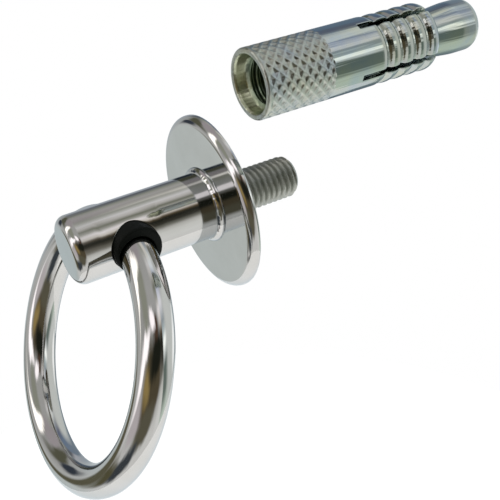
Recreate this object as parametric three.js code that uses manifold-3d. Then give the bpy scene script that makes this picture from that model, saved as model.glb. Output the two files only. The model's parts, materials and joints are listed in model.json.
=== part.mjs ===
// Roof anchor: a ring bolt whose loose ring runs in two rubber bushes, and the expansion
// sleeve with its cone plug that takes the bolt's threaded stud in the wall.
//
// Millimetres, +Z up. +X runs along the bolt into the wall, and the origin is the centre of
// the flange's back face. The sleeve lies beside the bolt, parallel to it, ready to be fitted.

import * as THREE from "three";
import { mergeGeometries, mergeVertices } from "three/addons/utils/BufferGeometryUtils.js";
import Module from "manifold-3d";

const wasm = await Module();
wasm.setup();

// ---- Driving dimensions ----

const FIT_GAP = 0.3; // between pieces that rest on or sit in each other
const RUNNING_GAP = 0.2; // between pieces that turn in each other

const ROD_R = 9.3;
const ROD_LENGTH = 40.5; // from the flange's front face to the tip
const ROD_TIP_ROUND = 2.8;

const FLANGE_R = 24.5;
const FLANGE_T = 3.0;
const FLANGE_FRONT_ROUND = 2.3;
const FLANGE_BACK_CHAMFER = 0.4;
const WELD_LEG = 1.0; // fillet weld between the rod and the flange

const THREAD_R = 6.0; // M12 coarse
const THREAD_PITCH = 1.75;
const THREAD_DEPTH = 1.07;
const STUD_LENGTH = 25.0; // from the flange's back face
const STUD_BURIED = 13.5; // inside the flange and the rod
const STUD_CORE_R = 5.9; // plain end, tapped into the rod
const STUD_CHAMFER = 1.3;
const DRILL_POINT = 3.6; // cone at the bottom of the rod's blind hole

const EYE_X = -27.75; // the cross hole that the ring passes through
const EYE_R = 6.65;
const NEAR_BUSH_REACH = 11.3; // from the rod's middle to the outer face of the -Y side's bush
const FAR_BUSH_REACH = 7.9; // the +Y side's bush sits deeper
const BUSH_ROUND = 0.8;

const RING_MEAN_R = 35.25;
const RING_WIRE_R = 4.8;
const RING_RISE = 0.43; // how far the wire's middle stands above the eye's axis
const RING_SWING = THREE.MathUtils.degToRad(25.24); // forward of plumb, as it rests

const SLEEVE_MOUTH = [-4.7, -32.4, 43.9]; // centre of the sleeve's open end
const SLEEVE_R = 8.0;
const SLEEVE_LENGTH = 48.2;
const SLEEVE_RIM_CHAMFER = 0.4;
const SLEEVE_END_ROUND = 2.0;
const MOUTH_R = 6.8;
const COUNTERBORE_R = 6.4;
const COUNTERBORE_DEPTH = 3.0;
const SLEEVE_THREAD_END = 24.0; // from the mouth
const SLEEVE_BORE_R = 5.15;
const FINGER_START = 27.0; // where both saw cuts are through, from the mouth
const FIRST_CUT_START = 25.3; // the first saw cut reaches this far towards the mouth
const FINGER_COUNT = 4;
const SLOT_WIDTH = 1.5;
const SLOT_ANGLE = THREE.MathUtils.degToRad(22.0); // first saw cut, from +Y towards +Z
const GROOVES = [32.5, 36.4, 40.3, 44.2]; // from the mouth
const GROOVE_TOP = 0.95; // half width at the surface
const GROOVE_FLOOR = 0.35; // half width at the bottom
const GROOVE_DEPTH = 0.5;
const TAPER_START = 41.0; // the fingers' inner taper, from the mouth
const TAPER_END_R = 6.1;

const PLUG_R = 6.25;
const PLUG_NOSE = 38.0; // from the mouth
const PLUG_NOSE_R = 3.9;
const PLUG_NECK_R = 4.8; // where its cone begins
const PLUG_CONE_END = 56.0; // from the mouth
const PLUG_END = 62.6; // from the mouth
const PLUG_END_ROUND = 2.2;

const ROUND_SEGMENTS = 40;
const THREAD_SEGMENTS = 16;
const RING_SEGMENTS = 64;
const WIRE_SEGMENTS = 14;
const ARC_STEPS = 3;
const OVERCUT = 2.0; // how far a cutting tool runs past the face it cuts

// ---- Materials ----

const polishedSteel = { color: 0xc9c9c6, roughness: 0.12, metalness: 1.0 };
const threadSteel = { color: 0xa9a8a3, roughness: 0.35, metalness: 1.0 };
const zincSteel = { color: 0xb4b8ab, roughness: 0.28, metalness: 1.0 };
const rubber = { color: 0x0b0c0b, roughness: 0.75, metalness: 0.0 };

// ---- Geometry helpers ----

// Revolves a profile of [x, radius] points about the X axis. It runs towards +X on the outside.
function turned(profile, segments = ROUND_SEGMENTS) {
  const points = profile.map(([x, r]) => new THREE.Vector2(r, x));
  const geometry = new THREE.LatheGeometry(points, segments);
  return geometry.rotateZ(-Math.PI / 2);
}

// Points of a round corner of the given radius about [x, r], from one angle to another.
function corner(x, r, radius, from, to) {
  const points = [];
  for (let step = 0; step <= ARC_STEPS; step += 1) {
    const angle = THREE.MathUtils.degToRad(from + ((to - from) * step) / ARC_STEPS);
    points.push([x + radius * Math.cos(angle), r + radius * Math.sin(angle)]);
  }
  return points;
}

function solid(geometry) {
  const bare = geometry.clone();
  bare.deleteAttribute("normal");
  bare.deleteAttribute("uv");
  const merged = mergeVertices(bare, 1e-4);
  const triangles = [];
  for (let start = 0; start < merged.index.count; start += 3) {
    const [a, b, c] = [0, 1, 2].map((k) => merged.index.getX(start + k));
    if (a !== b && b !== c && c !== a) {
      triangles.push(a, b, c);
    }
  }
  const mesh = new wasm.Mesh({
    numProp: 3,
    vertProperties: merged.attributes.position.array,
    triVerts: Uint32Array.from(triangles),
  });
  return new wasm.Manifold(mesh);
}

function geometryOf(manifold) {
  const mesh = manifold.getMesh();
  const geometry = new THREE.BufferGeometry();
  geometry.setAttribute("position", new THREE.BufferAttribute(mesh.vertProperties, 3));
  geometry.setIndex(new THREE.BufferAttribute(mesh.triVerts, 1));
  return geometry;
}

function piece(name, geometry, finish) {
  const mesh = new THREE.Mesh(geometry, new THREE.MeshStandardMaterial(finish));
  mesh.name = name;
  return mesh;
}

// ---- Screw threads ----

// One thread's turn as [share of the pitch, 0 at the root or 1 at the crest].
const THREAD_TURN = [
  [0, 0],
  [0.25, 0],
  [0.56, 1],
  [0.69, 1],
];

// The flat end that a helical surface leaves at its seam, in the plane where the turns begin.
function seamFace(outline) {
  const shape = new THREE.Shape(outline.map(([r, x]) => new THREE.Vector2(r, x)));
  return new THREE.ShapeGeometry(shape).rotateY(-Math.PI / 2);
}

function turnedOver(geometry) {
  const index = geometry.index.array;
  for (let start = 0; start < index.length; start += 3) {
    [index[start], index[start + 1]] = [index[start + 1], index[start]];
  }
  return geometry;
}

// A right-hand threaded bar along X that reaches past both ends. Its rows of points climb
// with the helix, so each crest and root is one clean edge.
function threadedBar(crest, root, from, to) {
  const turns = Math.ceil((to - from) / THREAD_PITCH) + 2;
  const rows = [];
  for (let turn = 0; turn <= turns; turn += 1) {
    for (const [share, height] of turn < turns ? THREAD_TURN : THREAD_TURN.slice(0, 1)) {
      const x = from + (turn + share - 1.5) * THREAD_PITCH;
      rows.push([root + (crest - root) * height, x]);
    }
  }
  const first = rows[0][1];
  const last = rows[rows.length - 1][1];
  const profile = [[0, first], ...rows, [0, last]].map(([r, x]) => new THREE.Vector2(r, x));
  const bar = new THREE.LatheGeometry(profile, THREAD_SEGMENTS);
  const position = bar.attributes.position;
  for (let column = 0; column <= THREAD_SEGMENTS; column += 1) {
    for (let row = 1; row <= rows.length; row += 1) {
      const vertex = column * profile.length + row;
      const climb = (THREAD_PITCH * column) / THREAD_SEGMENTS;
      position.setY(vertex, position.getY(vertex) + climb);
    }
  }
  const steps = THREAD_TURN.length + 1;
  const begin = rows.slice(0, steps);
  const end = rows.slice(-steps).map(([r, x]) => [r, x + THREAD_PITCH]);
  const faces = [
    bar,
    seamFace([[0, first], ...begin]),
    turnedOver(seamFace([[0, last], ...end])),
  ];
  return mergeGeometries(faces).rotateZ(-Math.PI / 2);
}

// ---- The bolt ----

const tipX = -FLANGE_T - ROD_LENGTH;

function eyeRod() {
  const backX = -FLANGE_T - FIT_GAP;
  const holeR = STUD_CORE_R + FIT_GAP;
  const holeEnd = -STUD_BURIED - FIT_GAP;
  const blank = turned([
    [tipX, 0],
    ...corner(tipX + ROD_TIP_ROUND, ROD_R - ROD_TIP_ROUND, ROD_TIP_ROUND, 180, 90),
    [backX, ROD_R],
    [backX, holeR],
    [holeEnd, holeR],
    [holeEnd - DRILL_POINT, 0],
  ]);
  const eye = new THREE.CylinderGeometry(EYE_R, EYE_R, 4 * ROD_R, ROUND_SEGMENTS);
  eye.translate(EYE_X, 0, 0);
  return geometryOf(solid(blank).subtract(solid(eye)));
}

function flangePlate() {
  const front = -FLANGE_T;
  const holeR = THREAD_R + FIT_GAP;
  const rounding = FLANGE_FRONT_ROUND;
  return turned([
    [0, holeR],
    [front, holeR],
    ...corner(front + rounding, FLANGE_R - rounding, rounding, 180, 90),
    [-FLANGE_BACK_CHAMFER, FLANGE_R],
    [0, FLANGE_R - FLANGE_BACK_CHAMFER],
    [0, holeR],
  ]);
}

function weldFillet() {
  const x = -FLANGE_T - FIT_GAP;
  const r = ROD_R + FIT_GAP;
  return turned([
    [x, r],
    [x - WELD_LEG, r],
    [x - WELD_LEG * 0.35, r + WELD_LEG * 0.35],
    [x, r + WELD_LEG],
    [x, r],
  ]);
}

function threadedStud() {
  const bar = solid(threadedBar(THREAD_R, THREAD_R - THREAD_DEPTH, 0, STUD_LENGTH));
  const envelope = turned([
    [FIT_GAP, 0],
    [FIT_GAP, THREAD_R + OVERCUT],
    [STUD_LENGTH - STUD_CHAMFER - OVERCUT, THREAD_R + OVERCUT],
    [STUD_LENGTH, THREAD_R - STUD_CHAMFER],
    [STUD_LENGTH, 0],
  ]);
  const core = turned([
    [-STUD_BURIED, 0],
    [-STUD_BURIED, STUD_CORE_R - STUD_CHAMFER],
    [STUD_CHAMFER - STUD_BURIED, STUD_CORE_R],
    [2 * FIT_GAP, STUD_CORE_R],
    [2 * FIT_GAP, 0],
  ]);
  return geometryOf(bar.intersect(solid(envelope)).add(solid(core)));
}

// ---- The ring and its bushes, about the eye's axis with the ring hanging plumb ----

const ringDrop = RING_MEAN_R - RING_RISE;

function ringShape(wireR) {
  const torus = new THREE.TorusGeometry(RING_MEAN_R, wireR, WIRE_SEGMENTS, RING_SEGMENTS);
  return torus.rotateY(Math.PI / 2).translate(0, 0, -ringDrop);
}

// side is -1 for the bush on the -Y side and 1 for the one on the +Y side.
function bush(side, reach) {
  const outer = EYE_R - RUNNING_GAP;
  const body = turned([
    [FIT_GAP, 0],
    [FIT_GAP, outer],
    ...corner(reach - BUSH_ROUND, outer - BUSH_ROUND, BUSH_ROUND, 90, 0),
    [reach, 0],
  ]);
  body.rotateZ((side * Math.PI) / 2);
  return geometryOf(solid(body).subtract(solid(ringShape(RING_WIRE_R + RUNNING_GAP))));
}

// ---- The expansion sleeve, along +X from its mouth ----

function anchorSleeve() {
  const blank = turned([
    [0, 0],
    [0, SLEEVE_R - SLEEVE_RIM_CHAMFER],
    [SLEEVE_RIM_CHAMFER, SLEEVE_R],
    [FINGER_START, SLEEVE_R],
    [FINGER_START, 0],
  ]);
  const taperLength = MOUTH_R - COUNTERBORE_R;
  const mouth = turned([
    [-OVERCUT, 0],
    [-OVERCUT, MOUTH_R],
    [0, MOUTH_R],
    [taperLength, COUNTERBORE_R],
    [COUNTERBORE_DEPTH, COUNTERBORE_R],
    [COUNTERBORE_DEPTH + THREAD_DEPTH, COUNTERBORE_R - THREAD_DEPTH],
    [COUNTERBORE_DEPTH + THREAD_DEPTH, 0],
  ]);
  const threadCrest = THREAD_R + RUNNING_GAP;
  const threadRoot = THREAD_R + RUNNING_GAP - THREAD_DEPTH;
  const tap = threadedBar(threadCrest, threadRoot, COUNTERBORE_DEPTH, SLEEVE_THREAD_END);
  const tapReach = turned([
    [COUNTERBORE_DEPTH / 2, 0],
    [COUNTERBORE_DEPTH / 2, THREAD_R + OVERCUT],
    [SLEEVE_THREAD_END, THREAD_R + OVERCUT],
    [SLEEVE_THREAD_END, 0],
  ]);
  const bore = turned([
    [SLEEVE_THREAD_END - FIT_GAP, 0],
    [SLEEVE_THREAD_END - FIT_GAP, SLEEVE_BORE_R],
    [FINGER_START + OVERCUT, SLEEVE_BORE_R],
    [FINGER_START + OVERCUT, 0],
  ]);
  const cutLength = FINGER_START - FIRST_CUT_START;
  const firstCut = new THREE.BoxGeometry(cutLength + OVERCUT, 4 * SLEEVE_R, SLOT_WIDTH);
  firstCut.translate(FIRST_CUT_START + (cutLength + OVERCUT) / 2, 0, 0);
  firstCut.rotateX(SLOT_ANGLE);
  const threads = solid(tap).intersect(solid(tapReach));
  const inside = solid(mouth).add(threads).add(solid(bore));
  return geometryOf(solid(blank).subtract(inside).subtract(solid(firstCut)));
}

function groovePoints(x) {
  const floor = SLEEVE_R - GROOVE_DEPTH;
  return [
    [x - GROOVE_TOP, SLEEVE_R],
    [x - GROOVE_FLOOR, floor],
    [x + GROOVE_FLOOR, floor],
    [x + GROOVE_TOP, SLEEVE_R],
  ];
}

// One quarter of the slotted end, between two saw cuts. The cuts lie along Y and Z here.
function fingerShape() {
  const start = FINGER_START + FIT_GAP;
  const rounding = SLEEVE_END_ROUND;
  const wall = turned([
    [SLEEVE_LENGTH, TAPER_END_R],
    [TAPER_START, SLEEVE_BORE_R],
    [start, SLEEVE_BORE_R],
    [start, SLEEVE_R],
    ...GROOVES.flatMap(groovePoints),
    ...corner(SLEEVE_LENGTH - rounding, SLEEVE_R - rounding, rounding, 90, 30),
    [SLEEVE_LENGTH, TAPER_END_R + FIT_GAP],
    [SLEEVE_LENGTH, TAPER_END_R],
  ]);
  const quarter = new THREE.BoxGeometry(SLEEVE_LENGTH, SLEEVE_R * 2, SLEEVE_R * 2);
  const middle = SLEEVE_R + SLOT_WIDTH / 2;
  quarter.translate(start + SLEEVE_LENGTH / 2 - OVERCUT, middle, middle);
  return geometryOf(solid(wall).intersect(solid(quarter)));
}

function conePlug() {
  const noseChamfer = PLUG_NECK_R - PLUG_NOSE_R;
  return turned([
    [PLUG_NOSE, 0],
    [PLUG_NOSE, PLUG_NOSE_R],
    [PLUG_NOSE + noseChamfer, PLUG_NECK_R],
    [TAPER_START, PLUG_NECK_R],
    [PLUG_CONE_END, PLUG_R],
    ...corner(PLUG_END - PLUG_END_ROUND, PLUG_R - PLUG_END_ROUND, PLUG_END_ROUND, 90, 0),
    [PLUG_END, 0],
  ]);
}

// ---- Assembly ----

const roofAnchor = new THREE.Group();
roofAnchor.add(
  piece("eye_rod", eyeRod(), polishedSteel),
  piece("flange_plate", flangePlate(), polishedSteel),
  piece("weld_fillet", weldFillet(), polishedSteel),
  piece("threaded_stud", threadedStud(), threadSteel),
);

const swing = new THREE.Group();
swing.position.set(EYE_X, 0, 0);
swing.rotation.y = RING_SWING;
swing.add(
  piece("bush_near", bush(-1, NEAR_BUSH_REACH), rubber),
  piece("bush_far", bush(1, FAR_BUSH_REACH), rubber),
  piece("ring", ringShape(RING_WIRE_R), polishedSteel),
);
roofAnchor.add(swing);

const sleeve = new THREE.Group();
sleeve.position.set(...SLEEVE_MOUTH);
sleeve.add(piece("anchor_sleeve", anchorSleeve(), zincSteel));
sleeve.add(piece("cone_plug", conePlug(), zincSteel));
for (let count = 0; count < FINGER_COUNT; count += 1) {
  const finger = piece(`finger_${count + 1}`, fingerShape(), zincSteel);
  finger.rotation.x = SLOT_ANGLE + (count * 2 * Math.PI) / FINGER_COUNT;
  sleeve.add(finger);
}
roofAnchor.add(sleeve);

export default roofAnchor;
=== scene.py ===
import json
import math

import bmesh
import bpy
from mathutils import Matrix, Vector, noise


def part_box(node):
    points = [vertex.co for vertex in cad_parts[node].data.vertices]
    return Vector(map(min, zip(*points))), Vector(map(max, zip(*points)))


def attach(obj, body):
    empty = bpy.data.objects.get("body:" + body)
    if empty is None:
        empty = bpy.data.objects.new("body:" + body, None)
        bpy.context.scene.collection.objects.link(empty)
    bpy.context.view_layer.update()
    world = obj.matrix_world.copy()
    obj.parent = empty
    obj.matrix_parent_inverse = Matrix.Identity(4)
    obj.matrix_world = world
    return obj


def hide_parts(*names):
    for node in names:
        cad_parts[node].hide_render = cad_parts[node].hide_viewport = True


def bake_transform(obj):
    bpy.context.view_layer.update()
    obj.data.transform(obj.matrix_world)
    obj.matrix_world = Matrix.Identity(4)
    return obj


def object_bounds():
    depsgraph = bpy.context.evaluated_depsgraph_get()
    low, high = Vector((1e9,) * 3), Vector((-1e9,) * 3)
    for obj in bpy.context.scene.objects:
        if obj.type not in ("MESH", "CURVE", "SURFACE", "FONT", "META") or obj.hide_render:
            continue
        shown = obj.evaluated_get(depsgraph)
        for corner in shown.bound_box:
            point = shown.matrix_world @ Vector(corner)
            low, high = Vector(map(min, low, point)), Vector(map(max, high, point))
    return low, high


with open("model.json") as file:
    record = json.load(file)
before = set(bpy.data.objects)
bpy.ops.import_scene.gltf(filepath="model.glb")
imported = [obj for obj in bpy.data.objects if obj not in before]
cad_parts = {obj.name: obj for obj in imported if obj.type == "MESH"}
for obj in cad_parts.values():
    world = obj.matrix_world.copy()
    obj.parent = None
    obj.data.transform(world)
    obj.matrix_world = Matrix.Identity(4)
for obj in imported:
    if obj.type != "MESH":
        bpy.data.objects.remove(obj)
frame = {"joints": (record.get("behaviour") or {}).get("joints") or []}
cad_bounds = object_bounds()

# Lengths are in millimetres here, and become metres when a mesh or a camera is made.
MM = 0.001
TURN = 2 * math.pi

# ---- Places and sizes, worked out from the frame ----


def node_box(node):
    """A CAD node's lowest and highest corners, in millimetres."""
    low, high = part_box(node)
    return low / MM, high / MM


def joint(name):
    return next(entry for entry in frame["joints"] if entry["name"] == name)


def joint_centre(name):
    return Vector(joint(name)["pos_m"]) / MM


rod_low, rod_high = node_box("eye_rod")
flange_low, flange_high = node_box("flange_plate")
weld_low = node_box("weld_fillet")[0]
stud_low, stud_high = node_box("threaded_stud")
ring_high = node_box("ring")[1]
bush_low, bush_high = node_box("bush_near")
far_bush_high = node_box("bush_far")[1]
sleeve_low, sleeve_high = node_box("anchor_sleeve")
finger_low, finger_high = node_box("finger_1")
plug_low, plug_high = node_box("cone_plug")

BOLT_AXIS = Vector((0, 0, 0))
ROD_R = rod_high.z
FLANGE_R = flange_high.z
THREAD_R = stud_high.z

EYE_X = (bush_low.x + bush_high.x) / 2
BUSH_START = -bush_high.y
BUSH_R = bush_high.z
NEAR_BUSH_REACH = -bush_low.y
FAR_BUSH_REACH = far_bush_high.y

RING_CENTRE = joint_centre("ring_spin")
RING_NORMAL = Vector(joint("ring_spin")["axis"]).normalized()
RING_UP = (Vector((EYE_X, 0, 0)) - RING_CENTRE).normalized()
RING_WIRE_R = 4.8  # radius of its bar
RING_MEAN_R = ring_high.y - RING_WIRE_R

SLEEVE_AXIS = Vector((0, (plug_low.y + plug_high.y) / 2, (plug_low.z + plug_high.z) / 2))
SLEEVE_MOUTH = sleeve_low.x
SLEEVE_R = (sleeve_high.y - sleeve_low.y) / 2
FINGER_START = finger_low.x
FINGER_END = finger_high.x
PLUG_R = (plug_high.y - plug_low.y) / 2

# ---- Detail dimensions ----

ROD_TIP_ROUND = 2.8
ROD_HOLE_GAP = 0.2  # between the blind hole and the stud
ROD_HOLE_PAST = 0.3  # how far the blind hole goes past the stud's end
ROD_HOLE_POINT = 3.9  # how far its drilled point goes past the stud's end
EYE_GAP = 0.08  # between the cross hole and the bushes
EYE_R = BUSH_R + EYE_GAP
EYE_EDGE = 0.15  # rounding of the cross hole's rim

FLANGE_ROUND = 2.3
FLANGE_EDGE = 0.4  # rounding of its back edge
FLANGE_HOLE_GAP = 0.3  # between the flange and the stud

WELD_GAP = 0.01  # to the rod and to the flange
WELD_FLATNESS = 1.2  # 1 is a quarter round, and 2 is a straight chamfer
WELD_RIPPLES = 44
WELD_RIPPLE_DEPTH = 0.018
WELD_RIPPLE_DRIFT = 4.0  # how far the wander shifts the ripples, in radians
WELD_WANDER = 0.16  # how far the bead's face wanders in and out
WELD_WANDER_SCALE = 7.0  # how often it does so

THREAD_PITCH = 1.75
THREAD_DEPTH = 1.0
# The thread's root and its two flanks, as shares of the pitch. The rest is its crest.
ROOT_WIDTH = 0.22
FLANK_RISE = 0.34
FLANK_FALL = 0.31
FLANK_ROUNDING = 0.35  # how much of a flank's shape is a smooth curve and not straight
STUD_CHAMFER = 1.3
STUD_INNER_CHAMFER = 0.8
STUD_PLAIN_R = THREAD_R - 0.1
STUD_PLAIN_END = 0.28
STUD_THREAD_START = 0.31

RING_UNEVENNESS = 0.03
RING_WAVES_ALONG = 0.09  # how often the unevenness changes along the bar, and across it
RING_WAVES_ACROSS = 0.6

RUNNING_GAP = 0.2  # between the ring and the bushes
BUSH_ROUND = 0.8
BUSH_LIP = 0.5  # rounding where the ring enters
BUSH_SKIN = 0.08  # least wall, where the ring leaves through the bush's underside

# Places along the sleeve are measured from its mouth.
MOUTH_R = 6.8
COUNTERBORE_R = 6.4
COUNTERBORE_DEPTH = 3.0
# The mouth's chamfer and its eased edge, from the counterbore out to the rim, as (place, radius).
MOUTH_EDGE = [(0.75, COUNTERBORE_R), (0.12, MOUTH_R - 0.05), (0.02, MOUTH_R + 0.1),
              (0.0, MOUTH_R + 0.25)]
RIM_ROUND = 0.45
CORNER_DEPTH = 0.3  # of the counterbore's conical corner
CORNER_WIDTH = 0.35
SLEEVE_THREAD_END = 24.0
THREAD_RUNOUT = 1.5
SLEEVE_BORE_R = 5.15
KNURL_FROM = 0.6
KNURL_TO = 17.4
KNURL_FADE = 0.6  # length over which it starts and stops
KNURL_PITCH = 2.35
KNURL_COUNT = 18
KNURL_DEPTH = 0.28
KNURL_RIDGE = 0.9  # where a ridge's top begins, on the way from a diamond's middle to its edge
KNURL_FLANK = 0.62  # the share of that way that a ridge's flank takes
SLOT_WIDTH = 1.5
SLOT_ANGLE = math.radians(22.0)
SLOT_EASE = 0.12  # rounding of the saw cuts' edges
FINGER_COUNT = 4
GROOVES = [32.5, 36.4, 40.3, 44.2]  # middles of the rolled grooves
GROOVE_TOP = 0.95  # half a groove's width at its top, and at its floor
GROOVE_FLOOR = 0.3
GROOVE_DEPTH = 0.5
BEAD_CROWN = 0.12  # how far a bead falls away towards its grooves
LAST_CROWN = 0.8  # length over which the metal before the first and after the last groove does so
TAPER_START = 41.0
TAPER_END_R = 6.1
SLEEVE_END_ROUND = 2.0
SLEEVE_END_WALL = 0.15  # thickness left at the fingers' ends
FIRST_CUT_START = 25.3  # the first saw cut reaches further towards the mouth than the second

PLUG_NOSE_R = 3.9
PLUG_NECK_R = 4.8
PLUG_CONE_END = 56.0  # from the mouth
# The soft change from cone to cylinder, as (place from the cone's end, depth below the cylinder).
PLUG_BLEND = [(-1.2, 0.115), (0.0, 0.03), (1.0, 0.0)]
PLUG_END_ROUND = 2.2

# ---- Mesh helpers ----


class Shell:
    """The points and faces of one piece."""

    def __init__(self):
        self.points = []
        self.faces = []

    def add(self, points):
        start = len(self.points)
        self.points.extend(Vector(point) for point in points)
        return list(range(start, len(self.points)))

    def strip(self, first, second, closed=True):
        """Faces between two rows of the same number of points."""
        count = len(first)
        for k in range(count if closed else count - 1):
            following = (k + 1) % count
            self.faces.append((first[k], first[following], second[following], second[k]))

    def strips(self, rows, closed=False):
        """Faces from each row to the next, and from the last to the first where closed."""
        for first, second in zip(rows, rows[1:]):
            self.strip(first, second)
        if closed:
            self.strip(rows[-1], rows[0])

    def fan(self, row, tip):
        """Faces from a closed row to one point."""
        centre = self.add([tip])[0]
        for k in range(len(row)):
            self.faces.append((row[k], row[(k + 1) % len(row)], centre))

    def drop_unused(self):
        """Leaves out the points that belong to no face."""
        used = sorted({index for face in self.faces for index in face})
        place = {old: new for new, old in enumerate(used)}
        self.points = [self.points[index] for index in used]
        self.faces = [tuple(place[index] for index in face) for face in self.faces]


def arc(centre_x, centre_r, radius, start, end, steps=10):
    """Points (x, r) on a round corner, with the angles in degrees."""
    points = []
    for step in range(steps + 1):
        angle = math.radians(start + (end - start) * step / steps)
        points.append((centre_x + radius * math.cos(angle), centre_r + radius * math.sin(angle)))
    return points


def between(start, end, count):
    """Evenly spaced numbers, both ends included."""
    return [start + (end - start) * k / (count - 1) for k in range(count)]


def smooth(value):
    """0 below 0, 1 above 1, and an even curve between."""
    value = min(1.0, max(0.0, value))
    return value * value * (3 - 2 * value)


def on_axis(axis, x, r, angle):
    """The point at radius r and an angle from +Y towards +Z about an axis along X."""
    return Vector((x, axis.y + r * math.cos(angle), axis.z + r * math.sin(angle)))


def turned(axis, profile, segments, surface=None):
    """A shell turned about an axis along X. A profile point is (x, r), and the profile either starts
    and ends on the axis or closes on itself. surface(x, r, angle) may move the radius."""
    shell = Shell()
    angles = [TURN * k / segments for k in range(segments)]
    rows = []
    tips = []
    for x, r in profile:
        if r == 0:
            tips.append((len(rows), x))
            continue
        radii = [surface(x, r, angle) if surface else r for angle in angles]
        rows.append(shell.add(on_axis(axis, x, radius, a) for radius, a in zip(radii, angles)))
    shell.strips(rows, closed=not tips)
    for place, x in tips:
        shell.fan(rows[0] if place == 0 else rows[-1], on_axis(axis, x, 0, 0))
    return shell


def make_piece(name, shell, body, material, sharp=32.0):
    """Makes the mesh of a shell and puts it in place of its CAD node. Edges that bend by more than
    sharp, in degrees, stay sharp."""
    mesh = bpy.data.meshes.new(name)
    mesh.from_pydata([point * MM for point in shell.points], [], shell.faces)
    work = bmesh.new()
    work.from_mesh(mesh)
    bmesh.ops.recalc_face_normals(work, faces=work.faces)
    work.to_mesh(mesh)
    work.free()
    mesh.shade_smooth()
    mesh.set_sharp_from_angle(angle=math.radians(sharp))
    mesh.materials.append(material)
    obj = bpy.data.objects.new("visual_" + name, mesh)
    bpy.context.scene.collection.objects.link(obj)
    weighted = obj.modifiers.new("flat_faces_stay_flat", "WEIGHTED_NORMAL")
    weighted.keep_sharp = True
    weighted.weight = 100
    if body:
        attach(obj, body)
    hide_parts(name)
    return obj


# ---- Materials ----

EDGE_TINT = (0.72, 0.79, 0.84, 1)  # steel's cooler shine at a glancing angle


def new_material(name):
    """A new material, its node tree and its shader."""
    material = bpy.data.materials.new(name)
    material.use_nodes = True
    tree = material.node_tree
    shader = next(node for node in tree.nodes if node.type == "BSDF_PRINCIPLED")
    return material, tree, shader


def new_metal(name):
    material, tree, shader = new_material(name)
    shader.inputs["Metallic"].default_value = 1.0
    shader.inputs["Specular Tint"].default_value = EDGE_TINT
    return material, tree, shader


def coordinates(tree, scale=(1, 1, 1)):
    """The row frame's coordinates in metres, stretched by scale."""
    source = tree.nodes.new("ShaderNodeTexCoord")
    mapping = tree.nodes.new("ShaderNodeMapping")
    mapping.inputs["Scale"].default_value = scale
    tree.links.new(source.outputs["Object"], mapping.inputs["Vector"])
    return mapping.outputs["Vector"]


def noise_texture(tree, vector, scale, detail=3.0, roughness=0.55, distortion=0.0):
    """Soft noise from 0 to 1."""
    texture = tree.nodes.new("ShaderNodeTexNoise")
    texture.inputs["Scale"].default_value = scale
    texture.inputs["Detail"].default_value = detail
    texture.inputs["Roughness"].default_value = roughness
    texture.inputs["Distortion"].default_value = distortion
    tree.links.new(vector, texture.inputs["Vector"])
    return texture.outputs["Fac"]


def ramp(tree, factor, stops):
    """A colour ramp through (position, colour) stops."""
    node = tree.nodes.new("ShaderNodeValToRGB")
    elements = node.color_ramp.elements
    while len(elements) > 1:
        elements.remove(elements[-1])
    elements[0].position = stops[0][0]
    elements[0].color = (*stops[0][1], 1)
    for position, colour in stops[1:]:
        elements.new(position).color = (*colour, 1)
    tree.links.new(factor, node.inputs["Fac"])
    return node.outputs["Color"]


def ranged(tree, factor, low, high, start=0.3, end=0.7):
    """A value stretched so that start becomes low and end becomes high."""
    node = tree.nodes.new("ShaderNodeMapRange")
    node.inputs["From Min"].default_value = start
    node.inputs["From Max"].default_value = end
    node.inputs["To Min"].default_value = low
    node.inputs["To Max"].default_value = high
    tree.links.new(factor, node.inputs["Value"])
    return node.outputs["Result"]


def maths(tree, operation, *values):
    """The result of an operation on values, each a socket or a plain number."""
    node = tree.nodes.new("ShaderNodeMath")
    node.operation = operation
    for socket, value in zip(node.inputs, values):
        if isinstance(value, (int, float)):
            socket.default_value = value
        else:
            tree.links.new(value, socket)
    return node.outputs["Value"]


def blended(tree, factor, first, second):
    """A colour between two, each a socket or a plain colour."""
    mix = tree.nodes.new("ShaderNodeMixRGB")
    tree.links.new(factor, mix.inputs["Fac"])
    for socket, colour in ((mix.inputs["Color1"], first), (mix.inputs["Color2"], second)):
        if isinstance(colour, tuple):
            socket.default_value = (*colour, 1)
        else:
            tree.links.new(colour, socket)
    return mix.outputs["Color"]


def bumps(tree, layers):
    """Bump nodes one after another, from (height, distance in metres, strength) layers."""
    normal = None
    for height, distance, strength in layers:
        node = tree.nodes.new("ShaderNodeBump")
        node.inputs["Distance"].default_value = distance
        node.inputs["Strength"].default_value = strength
        tree.links.new(height, node.inputs["Height"])
        if normal:
            tree.links.new(normal, node.inputs["Normal"])
        normal = node.outputs["Normal"]
    return normal


def polished_steel():
    """Mirror-polished stainless steel: faint lengthwise polishing marks and a slight waviness."""
    material, tree, shader = new_metal("polished_steel")
    link = tree.links.new
    tint = noise_texture(tree, coordinates(tree), 90.0)
    link(ramp(tree, tint, [(0.3, (0.565, 0.56, 0.545)), (0.7, (0.61, 0.605, 0.595))]),
         shader.inputs["Base Color"])
    smears = noise_texture(tree, coordinates(tree, (60, 700, 700)), 1.0, detail=5.0)
    link(ranged(tree, smears, 0.045, 0.10), shader.inputs["Roughness"])
    marks = noise_texture(tree, coordinates(tree, (150, 5000, 5000)), 1.0, detail=2.0)
    waves = noise_texture(tree, coordinates(tree), 160.0, detail=1.0)
    link(bumps(tree, [(waves, 0.00003, 0.5), (marks, 0.000001, 0.5)]), shader.inputs["Normal"])
    return material


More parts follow.
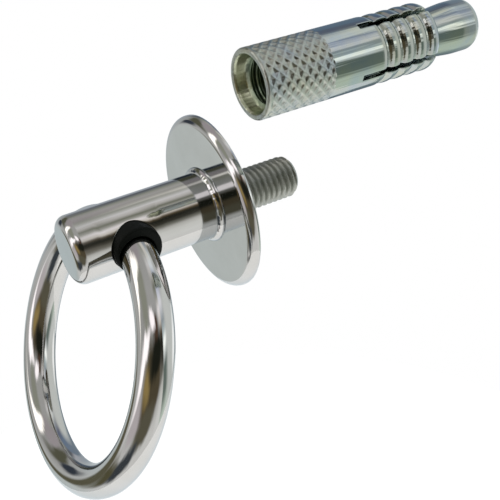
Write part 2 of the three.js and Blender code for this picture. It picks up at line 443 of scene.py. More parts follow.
def thread_steel():
    """Bright rolled threads with a duller, slightly uneven surface."""
    material, tree, shader = new_metal("thread_steel")
    link = tree.links.new
    tint = noise_texture(tree, coordinates(tree), 420.0, detail=5.0)
    link(ramp(tree, tint, [(0.3, (0.33, 0.34, 0.30)), (0.7, (0.46, 0.465, 0.43))]),
         shader.inputs["Base Color"])
    grain = noise_texture(tree, coordinates(tree, (3000, 900, 900)), 1.0, detail=4.0)
    link(ranged(tree, grain, 0.30, 0.46), shader.inputs["Roughness"])
    link(bumps(tree, [(grain, 0.00001, 0.5)]), shader.inputs["Normal"])
    return material


def mask_between(tree, value, start, end):
    """0 below start and 1 above end, or the other way round where start is above end."""
    low, high = sorted((start, end))
    levels = (0, 1) if start < end else (1, 0)
    return ranged(tree, value, *levels, start=low, end=high)


def past(tree, value, place, blur):
    """0 before a place and 1 past it, with the change blurred over a length. Both are in
    millimetres, and a negative length turns it the other way round."""
    return mask_between(tree, value, (place - blur / 2) * MM, (place + blur / 2) * MM)


def zinc_steel():
    """Bright zinc plating over drawn steel, with the faint green and blue of its passivation. The
    knurled band is duller. The bore is duller and yellower, and from the counterbore's depth inwards,
    over its thread, its colour is darkened as painted shade."""
    material, tree, shader = new_metal("zinc_steel")
    link = tree.links.new
    place = coordinates(tree)
    apart = tree.nodes.new("ShaderNodeSeparateXYZ")
    link(place, apart.inputs["Vector"])
    along = apart.outputs["X"]
    plain = past(tree, along, SLEEVE_MOUTH + KNURL_TO, blur=0.4)
    away = [maths(tree, "SUBTRACT", apart.outputs[name], middle * MM)
            for name, middle in (("Y", SLEEVE_AXIS.y), ("Z", SLEEVE_AXIS.z))]
    radius = maths(tree, "SQRT", maths(tree, "ADD", *[maths(tree, "POWER", d, 2) for d in away]))
    inner = past(tree, radius, MOUTH_R, blur=-0.2)
    front = past(tree, along, SLEEVE_MOUTH + FIRST_CUT_START - 0.25, blur=-0.5)
    bore = maths(tree, "MULTIPLY", inner, front)
    # Painted shade: past the counterbore's depth the bore's colour turns dark, standing in for the
    # shadow deep inside the sleeve.
    deep_painted_shade = past(tree, along, SLEEVE_MOUTH + COUNTERBORE_DEPTH, blur=0.8)
    inside = blended(tree, deep_painted_shade, (0.48, 0.51, 0.37), (0.22, 0.28, 0.20))
    tint = noise_texture(tree, place, 130.0, detail=4.0, distortion=0.6)
    plating = ramp(tree, tint, [(0.30, (0.40, 0.45, 0.48)), (0.48, (0.45, 0.48, 0.45)),
                                (0.70, (0.49, 0.50, 0.41))])
    link(blended(tree, bore, plating, inside), shader.inputs["Base Color"])
    drawn = noise_texture(tree, coordinates(tree, (90, 2200, 2200)), 1.0, detail=4.0)
    knurled = maths(tree, "SUBTRACT", 1.0, plain)
    dull = maths(tree, "MAXIMUM", maths(tree, "MULTIPLY", knurled, 0.24),
                 maths(tree, "MULTIPLY", bore, 0.20))
    link(maths(tree, "ADD", ranged(tree, drawn, 0.04, 0.10), dull), shader.inputs["Roughness"])
    spots = noise_texture(tree, place, 900.0, detail=3.0)
    streaks = noise_texture(tree, coordinates(tree, (25, 620, 620)), 1.0, detail=2.0)
    link(bumps(tree, [(spots, 0.00001, 0.4), (streaks, 0.00022, 0.7), (drawn, 0.000006, 0.5)]),
         shader.inputs["Normal"])
    return material


def bush_rubber():
    """Black moulded rubber with a fine grain and a little dust."""
    material, tree, shader = new_material("bush_rubber")
    link = tree.links.new
    dust = noise_texture(tree, coordinates(tree), 700.0, detail=6.0, roughness=0.7)
    link(ramp(tree, dust, [(0.35, (0.0015, 0.003, 0.002)), (0.80, (0.006, 0.009, 0.007))]),
         shader.inputs["Base Color"])
    link(ranged(tree, dust, 0.45, 0.75), shader.inputs["Roughness"])
    grain = noise_texture(tree, coordinates(tree), 3500.0, detail=2.0)
    link(bumps(tree, [(grain, 0.00003, 0.6)]), shader.inputs["Normal"])
    shader.inputs["Specular IOR Level"].default_value = 0.16
    return material


POLISHED = polished_steel()
THREAD = thread_steel()
ZINC = zinc_steel()
RUBBER = bush_rubber()

# ---- The bolt ----

ROD_SEGMENTS = 96
ROD_ROWS = [-14.0, -8.0]  # rows of points between the cross hole and the flange
# Each mouth of the cross hole lies in a patch of the rod's surface.
MOUTH_SPAN = 16  # segments that the patch covers on each side of its middle
MOUTH_HALF_LENGTH = 9.0
MOUTH_COLUMNS = 24
MOUTH_ROWS = [0.7, 0.45, 0.25, 0.1, 0.0]  # shares of the way from the rim to the patch's edge


def rod_row(x, r):
    """Points round the rod's axis."""
    return [on_axis(BOLT_AXIS, x, r, TURN * k / ROD_SEGMENTS) for k in range(ROD_SEGMENTS)]


def in_mouth(segment):
    """Whether the faces after this segment lie in the span of a mouth's patch."""
    middle = segment + 0.5
    from_near = abs(middle - ROD_SEGMENTS / 2)
    from_far = min(middle, ROD_SEGMENTS - middle)
    return min(from_near, from_far) < MOUTH_SPAN


def eye_point(hole_r, angle, side, pull=0.0):
    """A point on the rod's surface at radius hole_r from the cross hole's axis, pulled inwards."""
    z = hole_r * math.sin(angle)
    y = math.sqrt(ROD_R ** 2 - z ** 2) - pull
    return Vector((EYE_X + hole_r * math.cos(angle), side * y, z))


def mouth_perimeter(grid, first, middle):
    """The grid's points around one mouth's patch, as they follow one another. first is the patch's
    first column, and middle is its middle segment."""
    last = first + MOUTH_COLUMNS
    low = middle - MOUTH_SPAN
    high = middle + MOUTH_SPAN
    turn = [(column, low) for column in range(first, last)]
    turn += [(last, segment) for segment in range(low, high)]
    turn += [(column, high) for column in range(last, first, -1)]
    turn += [(first, segment) for segment in range(high, low, -1)]
    return [grid[column][segment % ROD_SEGMENTS] for column, segment in turn]


def mouth(shell, perimeter, side):
    """Faces from the perimeter of a mouth's patch over the rounded rim. Returns the last row, on the
    wall of the cross hole."""
    rows = [perimeter]
    corners = [shell.points[index] for index in perimeter]
    angles = [math.atan2(point.z, point.x - EYE_X) for point in corners]
    for share in MOUTH_ROWS:
        row = []
        for point, angle in zip(corners, angles):
            rim = eye_point(EYE_R + EYE_EDGE, angle, side)
            x = rim.x + (point.x - rim.x) * share
            tilt = math.asin(rim.z / ROD_R) * (1 - share) + math.asin(point.z / ROD_R) * share
            row.append(Vector((x, side * ROD_R * math.cos(tilt), ROD_R * math.sin(tilt))))
        rows.append(shell.add(row))
    for step in (0.25, 0.5, 0.75, 1.0):
        row = []
        for angle in angles:
            outside = eye_point(EYE_R + EYE_EDGE, angle, side)
            edge = eye_point(EYE_R, angle, side)
            inside = eye_point(EYE_R, angle, side, pull=EYE_EDGE)
            row.append(outside.lerp(edge, step).lerp(edge.lerp(inside, step), step))
        rows.append(shell.add(row))
    shell.strips(rows)
    return rows[-1]


def cross_hole(shell, near, far):
    """The wall of the cross hole, from one mouth's last row to the other's. The far mouth's points
    run the other way up, so they are matched to the near ones by place."""

    def opposite(index):
        place = shell.points[index].xz
        return min(far, key=lambda other: (shell.points[other].xz - place).length)

    matched = [opposite(index) for index in near]
    pairs = [(shell.points[a], shell.points[b]) for a, b in zip(near, matched)]
    middle = [shell.add(a.lerp(b, share) for a, b in pairs) for share in (0.25, 0.5, 0.75)]
    shell.strips([near, *middle, matched])


def rod_end(shell, edge, profile, tip_x):
    """One end of the rod, from the edge of its side along a profile of (x, r) to its middle."""
    rows = [edge] + [shell.add(rod_row(x, r)) for x, r in profile]
    shell.strips(rows)
    shell.fan(rows[-1], (tip_x, 0, 0))


def eye_rod():
    """The rod, with its rounded tip, the cross hole and the blind hole for the stud."""
    shell = Shell()
    patch = between(EYE_X - MOUTH_HALF_LENGTH, EYE_X + MOUTH_HALF_LENGTH, MOUTH_COLUMNS + 1)
    straight = rod_low.x + ROD_TIP_ROUND
    stations = [straight, *patch, *ROD_ROWS, rod_high.x]
    grid = [shell.add(rod_row(x, ROD_R)) for x in stations]
    first = stations.index(patch[0])
    last = stations.index(patch[-1])
    for column in range(len(stations) - 1):
        for segment in range(ROD_SEGMENTS):
            if first <= column < last and in_mouth(segment):
                continue
            following = (segment + 1) % ROD_SEGMENTS
            shell.faces.append((grid[column][segment], grid[column][following],
                                grid[column + 1][following], grid[column + 1][segment]))
    near = mouth(shell, mouth_perimeter(grid, first, ROD_SEGMENTS // 2), -1)
    far = mouth(shell, mouth_perimeter(grid, first, 0), 1)
    cross_hole(shell, near, far)
    tip = arc(straight, ROD_R - ROD_TIP_ROUND, ROD_TIP_ROUND, 90, 180, steps=14)[1:]
    rod_end(shell, grid[0], tip, rod_low.x)
    hole_r = THREAD_R + ROD_HOLE_GAP
    hole = [(rod_high.x, hole_r), (stud_low.x - ROD_HOLE_PAST, hole_r)]
    rod_end(shell, grid[-1], hole, stud_low.x - ROD_HOLE_POINT)
    shell.drop_unused()
    return shell


def flange_plate():
    front = flange_low.x
    back = flange_high.x
    hole_r = THREAD_R + FLANGE_HOLE_GAP
    profile = [(back, hole_r), (front, hole_r), (front, FLANGE_R / 2)]
    profile += arc(front + FLANGE_ROUND, FLANGE_R - FLANGE_ROUND, FLANGE_ROUND, 180, 90, steps=14)
    profile += arc(back - FLANGE_EDGE, FLANGE_R - FLANGE_EDGE, FLANGE_EDGE, 90, 0, steps=5)
    profile += [(back, FLANGE_R / 2)]
    return turned(BOLT_AXIS, profile, segments=192)


def weld_fillet():
    """A thin weld bead with the faint ripples of its pass, from the rod to the flange's face."""
    back = flange_low.x - WELD_GAP
    leg = back - weld_low.x
    inner = ROD_R + WELD_GAP

    def rippled(x, r, angle):
        share = math.sin(math.pi * min(1.0, (r - inner) / leg))
        wander = noise.noise(Vector((math.cos(angle) * WELD_WANDER_SCALE,
                                     math.sin(angle) * WELD_WANDER_SCALE, 0)))
        ripple = math.sin(WELD_RIPPLES * angle + WELD_RIPPLE_DRIFT * wander)
        return r + share * (WELD_RIPPLE_DEPTH * ripple + WELD_WANDER * wander)

    profile = [(back, inner), (back - leg, inner)]
    for angle in between(9, 90, count=11):
        along = math.cos(math.radians(angle)) ** WELD_FLATNESS
        out = math.sin(math.radians(angle)) ** WELD_FLATNESS
        profile.append((back - leg * along, inner + leg * out))
    return turned(BOLT_AXIS, profile, segments=WELD_RIPPLES * 7, surface=rippled)


def thread_height(turns):
    """Height of a thread's flank, 0 at the root and 1 at the crest, at a number of turns."""
    share = turns % 1.0
    rise = min(1.0, max(0.0, (share - ROOT_WIDTH) / FLANK_RISE))
    fall = min(1.0, max(0.0, (1.0 - share) / FLANK_FALL))
    height = min(rise, fall)
    return smooth(height) * FLANK_ROUNDING + height * (1 - FLANK_ROUNDING)


def threaded_stud():
    """The stud, plain inside the rod and with a helical thread beyond the flange."""
    end = stud_high.x
    root = THREAD_R - THREAD_DEPTH

    def thread(x, r, angle):
        if x < STUD_THREAD_START:
            return r
        wave = thread_height(x / THREAD_PITCH - angle / TURN)
        chamfer = THREAD_R - max(0.0, x - (end - STUD_CHAMFER))
        return min(root + (r - root) * wave, chamfer)

    profile = [(stud_low.x, 0), (stud_low.x, STUD_PLAIN_R - STUD_INNER_CHAMFER)]
    profile += [(stud_low.x + STUD_INNER_CHAMFER, STUD_PLAIN_R), (STUD_PLAIN_END, STUD_PLAIN_R)]
    profile += [(x, THREAD_R) for x in between(STUD_THREAD_START, end, count=168)]
    profile += [(end, 0)]
    return turned(BOLT_AXIS, profile, segments=96, surface=thread)


def ring():
    """The round ring, in its plane through the cross hole, with the slight unevenness of bent bar."""
    shell = Shell()
    around = 320
    section = 48
    side = Vector((0, 1, 0))
    rows = []
    for step in range(around):
        angle = TURN * step / around
        out = side * math.sin(angle) + RING_UP * math.cos(angle)
        centre = RING_CENTRE + out * RING_MEAN_R
        row = []
        for k in range(section):
            turn = TURN * k / section
            direction = out * math.cos(turn) + RING_NORMAL * math.sin(turn)
            wave = noise.noise(centre * RING_WAVES_ALONG + direction * RING_WAVES_ACROSS)
            uneven = RING_UNEVENNESS * wave - RING_UNEVENNESS / 2
            row.append(centre + direction * (RING_WIRE_R + uneven))
        rows.append(shell.add(row))
    shell.strips(rows, closed=True)
    return shell


def bush(side, reach):
    """A rubber lining of one mouth. Its passage follows the ring's bend, so its wall is uneven."""
    shell = Shell()
    count = 96
    eye = Vector((EYE_X, 0, 0))
    angles = [TURN * k / count for k in range(count)]

    def outer_row(y, r):
        return [eye + Vector((0, side * y, 0)) + r * (RING_NORMAL * math.cos(a) + RING_UP * math.sin(a))
                for a in angles]

    def passage_limit(y):
        """The passage's largest radius from the hole's axis: the outer radius less the least wall."""
        share = max(0.0, y - (reach - BUSH_ROUND)) / BUSH_ROUND
        return BUSH_R - BUSH_ROUND * (1 - math.sqrt(1 - min(1.0, share) ** 2)) - BUSH_SKIN

    def passage_row(y, grow=0.0):
        rise = math.sqrt(RING_MEAN_R ** 2 - y ** 2)
        middle = RING_CENTRE + RING_UP * rise
        stretch = RING_MEAN_R / rise
        r = RING_WIRE_R + RUNNING_GAP + grow
        offsets = [middle + r * (RING_NORMAL * math.cos(a) + RING_UP * math.sin(a) * stretch) - eye
                   for a in angles]
        return [eye + offset * min(1.0, passage_limit(y) / offset.length) + Vector((0, side * y, 0))
                for offset in offsets]

    rows = [outer_row(y, BUSH_R) for y in between(BUSH_START, reach - BUSH_ROUND, count=8)]
    corner = arc(reach - BUSH_ROUND, BUSH_R - BUSH_ROUND, BUSH_ROUND, 90, 0, steps=6)
    rows += [outer_row(y, r) for y, r in corner[1:]]
    for turn in between(90, 0, count=5):
        y = reach - BUSH_LIP * (1 - math.sin(math.radians(turn)))
        grow = BUSH_LIP * (1 - math.cos(math.radians(turn)))
        rows.append(passage_row(y, grow))
    rows += [passage_row(y) for y in between(reach - BUSH_LIP, BUSH_START, count=14)[1:]]
    shell.strips([shell.add(row) for row in rows], closed=True)
    return shell


# ---- The expansion sleeve ----

# How far past a detail the next row of points lies, which keeps the plain metal's shading even.
KNURL_MARGIN = 0.3
CUT_MARGIN = 2.0
GROOVE_MARGIN = 1.5
ROW_GAP = 0.1  # between two stretches of evenly spaced rows
CUT_STEP = 0.02  # the second saw cut starts over this length


def knurl(u, angle):
    """Depth of the diamond knurl: 0 on its crossing ridges, 1 at the bottom of a diamond."""
    along = u / KNURL_PITCH
    around = KNURL_COUNT * angle / TURN
    first = abs(2 * ((along + around) % 1.0) - 1)
    second = abs(2 * ((along - around) % 1.0) - 1)
    return smooth((KNURL_RIDGE - max(first, second)) / KNURL_FLANK)


def anchor_sleeve():
    """The sleeve up to the first saw cut's end. Along it, u is measured from the mouth."""

    def surface(x, r, angle):
        u = x - SLEEVE_MOUTH
        if r == SLEEVE_R and KNURL_FROM < u < KNURL_TO:
            fade = min(1.0, (u - KNURL_FROM) / KNURL_FADE, (KNURL_TO - u) / KNURL_FADE)
            return r - KNURL_DEPTH * fade * knurl(u, angle)
        if r == SLEEVE_BORE_R and COUNTERBORE_DEPTH < u < SLEEVE_THREAD_END:
            wave = thread_height(-(x / THREAD_PITCH - angle / TURN))
            fade = min(1.0, (SLEEVE_THREAD_END - u) / THREAD_RUNOUT)
            return r + THREAD_DEPTH * fade * (1 - wave)
        return r

    end = FIRST_CUT_START
    corner = COUNTERBORE_DEPTH - CORNER_DEPTH
    outline = [MOUTH_EDGE[-1]]
    outline += arc(RIM_ROUND, SLEEVE_R - RIM_ROUND, RIM_ROUND, 180, 90, steps=6)
    outline += [(u, SLEEVE_R) for u in between(KNURL_FROM, KNURL_TO, count=116)]
    outline += [(KNURL_TO + KNURL_MARGIN, SLEEVE_R), (end - CUT_MARGIN, SLEEVE_R), (end, SLEEVE_R)]
    outline += [(end, SLEEVE_BORE_R), (SLEEVE_THREAD_END, SLEEVE_BORE_R)]
    inside = between(SLEEVE_THREAD_END - ROW_GAP, COUNTERBORE_DEPTH + CORNER_DEPTH, count=150)
    outline += [(u, SLEEVE_BORE_R) for u in inside]
    outline += [(COUNTERBORE_DEPTH, COUNTERBORE_R - CORNER_WIDTH), (corner, COUNTERBORE_R)]
    outline += MOUTH_EDGE[:-1]
    profile = [(SLEEVE_MOUTH + u, r) for u, r in outline]
    return turned(SLEEVE_AXIS, profile, segments=KNURL_COUNT * 12, surface=surface)


def finger_outer(u):
    """The fingers' outer radius: rolled grooves with crowned beads between them."""
    distance = min(abs(u - groove) for groove in GROOVES)
    if distance < GROOVE_TOP:
        climb = min(1.0, max(0.0, (distance - GROOVE_FLOOR) / (GROOVE_TOP - GROOVE_FLOOR)))
        return SLEEVE_R - GROOVE_DEPTH + (GROOVE_DEPTH - BEAD_CROWN) * math.sin(climb * math.pi / 2)
    if GROOVES[0] < u < GROOVES[-1]:
        spacing = (GROOVES[1] - GROOVES[0]) / 2
        share = min(1.0, (distance - GROOVE_TOP) / (spacing - GROOVE_TOP))
        return SLEEVE_R - BEAD_CROWN * (1 - share) ** 2
    crown = max(0.0, 1 - (distance - GROOVE_TOP) / LAST_CROWN)
    return SLEEVE_R - BEAD_CROWN * crown ** 2


def finger_sections():
    """(u, outer radius, inner radius) along a finger, from the first saw cut's end to its tip."""
    both_cut = FINGER_START - SLEEVE_MOUTH
    end = FINGER_END - SLEEVE_MOUTH
    round_start = end - SLEEVE_END_ROUND
    grooved_from = GROOVES[0] - GROOVE_MARGIN
    grooved_to = GROOVES[-1] + GROOVE_MARGIN
    places = [FIRST_CUT_START, both_cut - CUT_STEP]
    places += between(both_cut, grooved_from - ROW_GAP, count=9)
    places += between(grooved_from, grooved_to, count=105)
    places += between(grooved_to + ROW_GAP, round_start, count=5)
    outers = [(u, finger_outer(u)) for u in places]
    outers += arc(round_start, SLEEVE_R - SLEEVE_END_ROUND, SLEEVE_END_ROUND, 90, 30, steps=8)[1:]
    outers += [(end, TAPER_END_R + SLEEVE_END_WALL)]
    sections = []
    for u, outer in outers:
        taper = max(0.0, (u - TAPER_START) / (end - TAPER_START))
        sections.append((u, outer, SLEEVE_BORE_R + (TAPER_END_R - SLEEVE_BORE_R) * taper))
    return sections


def finger(index):
    """One quarter of the slotted end, between two parallel-sided saw cuts with eased edges. Up to
    the second cut's end it still meets its neighbour on that side."""
    shell = Shell()
    turn = SLOT_ANGLE + index * TURN / FINGER_COUNT
    steps = 28
    shoulder_inset = SLOT_EASE * 0.3  # of the eased edge's middle point

    def arc_row(r, x, inset, cut):
        """Points from this finger's first side to its second, where cut says which sides are open."""
        low, high = [math.asin((SLOT_WIDTH / 2 + inset) / r) if side else 0.0 for side in cut]
        span = TURN / FINGER_COUNT - low - high
        return [on_axis(SLEEVE_AXIS, x, r, turn + low + span * k / steps) for k in range(steps + 1)]

    rows = []
    for u, outer, inner in finger_sections():
        x = SLEEVE_MOUTH + u
        cut = [True, True]
        if x < FINGER_START:
            cut[(index + 1) % 2] = False
        top = arc_row(outer, x, SLOT_EASE, cut)
        shoulder = arc_row(outer - shoulder_inset, x, shoulder_inset, cut)
        flank = arc_row(outer - SLOT_EASE, x, 0, cut)
        bottom = arc_row(inner + SLOT_EASE, x, 0, cut)
        inside = arc_row(inner, x, SLOT_EASE, cut)
        loop = top + [shoulder[-1], flank[-1], bottom[-1]]
        loop += inside[::-1] + [bottom[0], flank[0], shoulder[0]]
        rows.append(shell.add(loop))
    shell.strips(rows)
    # A row is the outer arc, three points down one cut, the inner arc and three points up the other.
    half = steps + 1
    for row in (rows[0], rows[-1]):
        outer_arc = row[:half]
        down = row[half:half + 3]
        inner_arc = row[half + 3:2 * half + 3][::-1]
        up = row[2 * half + 3:]
        shell.strip(outer_arc, inner_arc, closed=False)
        shell.faces.append((outer_arc[-1], *down, inner_arc[-1]))
        shell.faces.append((inner_arc[0], *up, outer_arc[0]))
    return shell


def cone_plug():
    """The plug, from its nose and narrow neck inside the sleeve to the rounded end that is driven."""
    nose = plug_low.x
    end = plug_high.x
    cone_start = SLEEVE_MOUTH + TAPER_START
    cone_end = SLEEVE_MOUTH + PLUG_CONE_END
    chamfer = PLUG_NECK_R - PLUG_NOSE_R
    profile = [(nose, 0), (nose, PLUG_NOSE_R), (nose + chamfer, PLUG_NECK_R)]
    profile += [(cone_start, PLUG_NECK_R)]
    profile += [(cone_end + place, PLUG_R - depth) for place, depth in PLUG_BLEND]
    profile += arc(end - PLUG_END_ROUND, PLUG_R - PLUG_END_ROUND, PLUG_END_ROUND, 90, 0, steps=14)
    profile += [(end, 0)]
    return turned(SLEEVE_AXIS, profile, segments=128)


make_piece("eye_rod", eye_rod(), "ring_bolt", POLISHED)
make_piece("flange_plate", flange_plate(), "ring_bolt", POLISHED)
make_piece("weld_fillet", weld_fillet(), "ring_bolt", POLISHED, sharp=60.0)
make_piece("threaded_stud", threaded_stud(), "ring_bolt", THREAD, sharp=60.0)
make_piece("ring", ring(), "ring", POLISHED)
make_piece("bush_near", bush(-1, NEAR_BUSH_REACH), "bushes", RUBBER, sharp=50.0)
make_piece("bush_far", bush(1, FAR_BUSH_REACH), "bushes", RUBBER, sharp=50.0)
make_piece("anchor_sleeve", anchor_sleeve(), "anchor_sleeve", ZINC, sharp=60.0)
make_piece("cone_plug", cone_plug(), "cone_plug", ZINC)
for index in range(FINGER_COUNT):
    node = f"finger_{index + 1}"
    piece = make_piece(node, finger(index), None, ZINC, sharp=40.0)
    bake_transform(piece)

# ---- Camera ----

# The camera looks at its aim from this azimuth, from -Y towards +X, and this elevation.
CAMERA_AZIMUTH = math.radians(-29.13)
CAMERA_ELEVATION = math.radians(31.81)
CAMERA_ROLL = math.radians(-4.82)
CAMERA_DISTANCE = 211.0
CAMERA_AIM = Vector((-1.18, -20.31, -5.52))
CAMERA_LENS = 58.24


def make_camera():
    flat = math.cos(CAMERA_ELEVATION)
    back = Vector((math.sin(CAMERA_AZIMUTH) * flat, -math.cos(CAMERA_AZIMUTH) * flat,
                   math.sin(CAMERA_ELEVATION)))
    level = Vector((math.cos(CAMERA_AZIMUTH), math.sin(CAMERA_AZIMUTH), 0))
    upright = back.cross(level)
    right = level * math.cos(CAMERA_ROLL) + upright * math.sin(CAMERA_ROLL)
    up = upright * math.cos(CAMERA_ROLL) - level * math.sin(CAMERA_ROLL)
    place = (CAMERA_AIM + back * CAMERA_DISTANCE) * MM
    data = bpy.data.cameras.new("camera")
    data.lens = CAMERA_LENS
    data.sensor_width = 36.0
    data.clip_start = 0.01
    camera = bpy.data.objects.new("camera", data)
    camera.matrix_world = Matrix((
        (right.x, up.x, back.x, place.x),
        (right.y, up.y, back.y, place.y),
        (right.z, up.z, back.z, place.z),
        (0, 0, 0, 1),
    ))
    bpy.context.scene.collection.objects.link(camera)
    bpy.context.scene.camera = camera


# ---- Studio ----

FLOOR_DROP = 200.0
FLOOR_R = 260.0
FLOOR_SEGMENTS = 96

WAVINESS = 0.22  # how far the edges of the patches wander

# The room by elevation in degrees, as (elevation, brightness). Its blue is a little weaker.
ROOM_BLUE = 0.98
ROOM = [(-90, 0.90), (-30, 0.84), (-10, 0.66), (10, 0.50), (40, 0.42), (65, 0.50), (90, 0.50)]

# Long strips of light and shade that run along the bolt, by the angle about its axis from +Y
# towards +Z: lamps, shelves, and the dark edge of a table. They run right round, so each set ends
# as it starts. The rod sees the first set.
STRIPS_START = -35
STRIPS = [
    (-35, (0.50, 0.52, 0.54)),
    (0, (0.60, 0.60, 0.64)),
    (12, (0.15, 0.16, 0.18)),
    (20, (0.20, 0.21, 0.23)),
    (33, (0.38, 0.39, 0.34)),
    (48, (0.56, 0.56, 0.53)),
    (62, (0.30, 0.32, 0.27)),
    (74, (0.50, 0.51, 0.47)),
    (86, (0.86, 0.85, 0.86)),
    (96, (0.68, 0.66, 0.64)),
    (106, (0.22, 0.23, 0.18)),
    (115, (0.50, 0.50, 0.46)),
    (124, (1.15, 1.10, 1.12)),
    (134, (0.85, 0.80, 0.74)),
    (142, (0.17, 0.13, 0.08)),
    (150, (0.028, 0.027, 0.022)),
    (163, (0.055, 0.055, 0.045)),
    (172, (0.24, 0.24, 0.21)),
    (181, (0.68, 0.68, 0.65)),
    (194, (0.88, 0.89, 0.86)),
    (212, (0.94, 0.95, 0.93)),
    (240, (0.88, 0.88, 0.87)),
    (272, (0.80, 0.82, 0.80)),
    (305, (0.50, 0.54, 0.56)),
    (325, (0.50, 0.52, 0.54)),
]

# The sleeve, further to the right, sees the second set.
SLEEVE_STRIPS = [
    (-35, (0.30, 0.34, 0.38)),
    (30, (0.20, 0.27, 0.38)),
    (48, (0.18, 0.20, 0.28)),
    (64, (0.46, 0.50, 0.54)),
    (76, (0.95, 1.00, 1.00)),
    (88, (0.95, 1.00, 1.05)),
    (98, (0.34, 0.40, 0.55)),
    (108, (0.65, 0.70, 0.85)),
    (122, (1.05, 1.05, 1.10)),
    (138, (0.40, 0.46, 0.50)),
    (148, (0.70, 0.80, 0.82)),
    (157, (1.70, 1.75, 1.70)),
    (167, (0.80, 0.85, 0.85)),
    (176, (0.18, 0.23, 0.21)),
    (204, (0.20, 0.25, 0.22)),
    (218, (0.50, 0.58, 0.51)),
    (232, (0.76, 0.87, 0.78)),
    (262, (0.80, 0.92, 0.85)),
    (286, (0.38, 0.45, 0.45)),
    (310, (0.20, 0.24, 0.27)),
    (325, (0.30, 0.34, 0.38)),
]

# The part of a direction that lies along the bolt, from -1 to 1, where the strips fade in, where
# the second set takes over and where they fade out.
STRIPS_IN = (0.10, 0.28)
STRIPS_CHANGE = (0.40, 0.46)
STRIPS_OUT = (0.78, 0.62)

# Soft patches of the room, one over the other: azimuth from +X and elevation, half width and
# half height, turn, all in degrees, then softness and colour.
PALE_WALL = (0, -5, 72, 50, 0, 0.35, (0.80, 0.83, 0.81))  # beyond the sleeve
PATCHES = [
    (105, 55, 28, 17, 0, 0.40, (0.46, 0.42, 0.44)),
    (106, 25, 26, 12, 8, 0.40, (0.13, 0.13, 0.09)),
    (112, 3, 10, 12, 0, 0.40, (0.05, 0.06, 0.08)),
    (165, 48, 20, 18, 0, 0.40, (0.36, 0.37, 0.31)),
    (-178, -4, 24, 10, 0, 0.40, (0.66, 0.61, 0.63)),
    (-122, 14, 48, 30, 0, 0.22, (0.11, 0.09, 0.055)),  # the dark side of the room
    (-130, -15, 32, 16, 0, 0.35, (0.14, 0.13, 0.09)),
    (-153, 14, 17, 9, 10, 0.60, (0.40, 0.29, 0.11)),
    (-104, 32, 32, 15, 0, 0.40, (0.018, 0.020, 0.014)),
    (-100, 50, 12, 9, 0, 0.40, (0.10, 0.06, 0.04)),
    (-172, -31, 28, 11, -6, 0.35, (0.06, 0.07, 0.08)),
    (150, -25, 17, 9, 14, 0.40, (0.12, 0.11, 0.06)),
    (119, -33, 19, 14, 0, 0.60, (0.76, 0.79, 0.76)),
    (133, -19, 12, 7, 0, 0.40, (0.15, 0.14, 0.09)),
    (178, 21, 34, 6, -50, 0.45, (1.9, 1.8, 1.85)),  # slanting light
    (144, 32, 6, 26, -8, 0.40, (2.3, 2.2, 2.1)),  # window
    (-131, 56, 14, 7, 0, 0.40, (1.7, 1.6, 1.65)),  # lamp over the rod's tip
    (35, 57, 11, 6, 0, 0.50, (0.85, 0.83, 0.78)),
    (5, -25, 13, 8, 0, 0.50, (1.5, 1.5, 1.5)),
]


def heading(azimuth, elevation):
    """The direction at an azimuth from +X and an elevation, in degrees."""
    a = math.radians(azimuth)
    e = math.radians(elevation)
    return Vector((math.cos(a) * math.cos(e), math.sin(a) * math.cos(e), math.sin(e)))


def add_patch(tree, direction, below, patch):
    """Lays one soft elliptical patch of light or shade over the room's colour."""
    azimuth, elevation, half_width, half_height, turn, softness, colour = patch
    forward = heading(azimuth, elevation)
    side = heading(azimuth - 90, 0)
    up = side.cross(forward)
    t = math.radians(turn)
    wide = side * math.cos(t) + up * math.sin(t)
    tall = up * math.cos(t) - side * math.sin(t)
    turned_frame = Matrix((wide, tall, wide.cross(tall))).transposed()
    mapping = tree.nodes.new("ShaderNodeMapping")
    mapping.vector_type = "TEXTURE"
    mapping.inputs["Location"].default_value = forward
    mapping.inputs["Rotation"].default_value = turned_frame.to_euler()
    mapping.inputs["Scale"].default_value = (math.sin(math.radians(half_width)),
                                             math.sin(math.radians(half_height)), 1)
    tree.links.new(direction, mapping.inputs["Vector"])
    length = tree.nodes.new("ShaderNodeVectorMath")
    length.operation = "LENGTH"
    tree.links.new(mapping.outputs["Vector"], length.inputs[0])
    edge = tree.nodes.new("ShaderNodeMapRange")
    edge.interpolation_type = "SMOOTHSTEP"
    edge.inputs["From Min"].default_value = 1 + softness
    edge.inputs["From Max"].default_value = 1 - softness
    tree.links.new(length.outputs["Value"], edge.inputs["Value"])
    return blended(tree, edge.outputs["Result"], below, colour)


def wavy(tree, direction):
    """The direction with a slow waviness, which lets the patches' edges wander."""
    ripple = tree.nodes.new("ShaderNodeTexNoise")
    ripple.inputs["Scale"].default_value = 4.0
    ripple.inputs["Detail"].default_value = 3.0
    tree.links.new(direction, ripple.inputs["Vector"])
    centred = tree.nodes.new("ShaderNodeVectorMath")
    centred.operation = "MULTIPLY_ADD"
    centred.inputs[1].default_value = (WAVINESS, WAVINESS, WAVINESS)
    centred.inputs[2].default_value = (-WAVINESS / 2, -WAVINESS / 2, -WAVINESS / 2)
    tree.links.new(ripple.outputs["Color"], centred.inputs[0])
    moved = tree.nodes.new("ShaderNodeVectorMath")
    moved.operation = "ADD"
    tree.links.new(direction, moved.inputs[0])
    tree.links.new(centred.outputs["Vector"], moved.inputs[1])
    return moved.outputs["Vector"]


def bare_room(tree, height):
    """The room's colour by elevation. height is the direction's Z."""
    elevation = maths(tree, "DIVIDE", maths(tree, "ARCSINE", height), math.pi)
    stops = [((angle + 90) / 180, (level, level, level * ROOM_BLUE)) for angle, level in ROOM]
    return ramp(tree, maths(tree, "ADD", elevation, 0.5), stops)


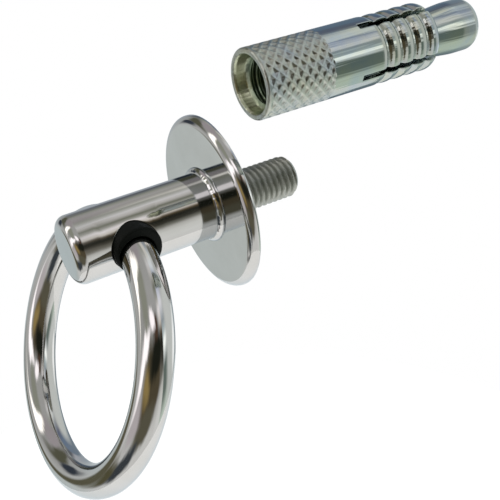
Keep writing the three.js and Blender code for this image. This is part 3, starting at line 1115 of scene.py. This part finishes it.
def add_strips(tree, parts, below):
    """Lays the strips over the room's colour. parts are the direction's X, Y and Z."""
    about = maths(tree, "DIVIDE", maths(tree, "ARCTAN2", parts["Z"], parts["Y"]), TURN)
    about = maths(tree, "FRACT", maths(tree, "SUBTRACT", about, STRIPS_START / 360))
    sets = [ramp(tree, about, [((angle - STRIPS_START) / 360, colour) for angle, colour in stops])
            for stops in (STRIPS, SLEEVE_STRIPS)]
    strips = blended(tree, mask_between(tree, parts["X"], *STRIPS_CHANGE), *sets)
    reach = maths(tree, "MULTIPLY", mask_between(tree, parts["X"], *STRIPS_IN),
                  mask_between(tree, parts["X"], *STRIPS_OUT))
    return blended(tree, reach, below, strips)


def make_studio():
    """Plain white to the eye. Reflections see a room of soft light and shade."""
    scene = bpy.context.scene
    world = bpy.data.worlds.new("studio")
    world.use_nodes = True
    scene.world = world
    scene.view_settings.view_transform = "Standard"
    tree = world.node_tree
    tree.nodes.clear()
    link = tree.links.new
    direction = tree.nodes.new("ShaderNodeTexCoord").outputs["Generated"]
    apart = tree.nodes.new("ShaderNodeSeparateXYZ")
    link(direction, apart.inputs["Vector"])
    patch_direction = wavy(tree, direction)
    colour = bare_room(tree, apart.outputs["Z"])
    colour = add_patch(tree, patch_direction, colour, PALE_WALL)
    colour = add_strips(tree, apart.outputs, colour)
    for patch in PATCHES:
        colour = add_patch(tree, patch_direction, colour, patch)
    room = tree.nodes.new("ShaderNodeBackground")
    link(colour, room.inputs["Color"])
    plain = tree.nodes.new("ShaderNodeBackground")
    plain.inputs["Color"].default_value = (1, 1, 1, 1)
    choose = tree.nodes.new("ShaderNodeMixShader")
    link(tree.nodes.new("ShaderNodeLightPath").outputs["Is Camera Ray"], choose.inputs["Fac"])
    link(room.outputs["Background"], choose.inputs[1])
    link(plain.outputs["Background"], choose.inputs[2])
    output = tree.nodes.new("ShaderNodeOutputWorld")
    link(choose.outputs["Shader"], output.inputs["Surface"])


def make_floor():
    """A pale round floor well below the object."""
    angles = [TURN * k / FLOOR_SEGMENTS for k in range(FLOOR_SEGMENTS)]
    edge = [Vector((FLOOR_R * math.cos(a), FLOOR_R * math.sin(a), 0)) * MM for a in angles]
    mesh = bpy.data.meshes.new("floor")
    mesh.from_pydata(edge, [], [tuple(range(FLOOR_SEGMENTS))])
    material, _, shader = new_material("floor")
    shader.inputs["Base Color"].default_value = (0.8, 0.8, 0.79, 1)
    shader.inputs["Roughness"].default_value = 0.9
    shader.inputs["Emission Color"].default_value = (1, 1, 0.99, 1)
    shader.inputs["Emission Strength"].default_value = 0.7
    mesh.materials.append(material)
    floor = bpy.data.objects.new("floor", mesh)
    floor.location.z = cad_bounds[0].z - FLOOR_DROP * MM
    bpy.context.scene.collection.objects.link(floor)


make_camera()
make_studio()
make_floor()
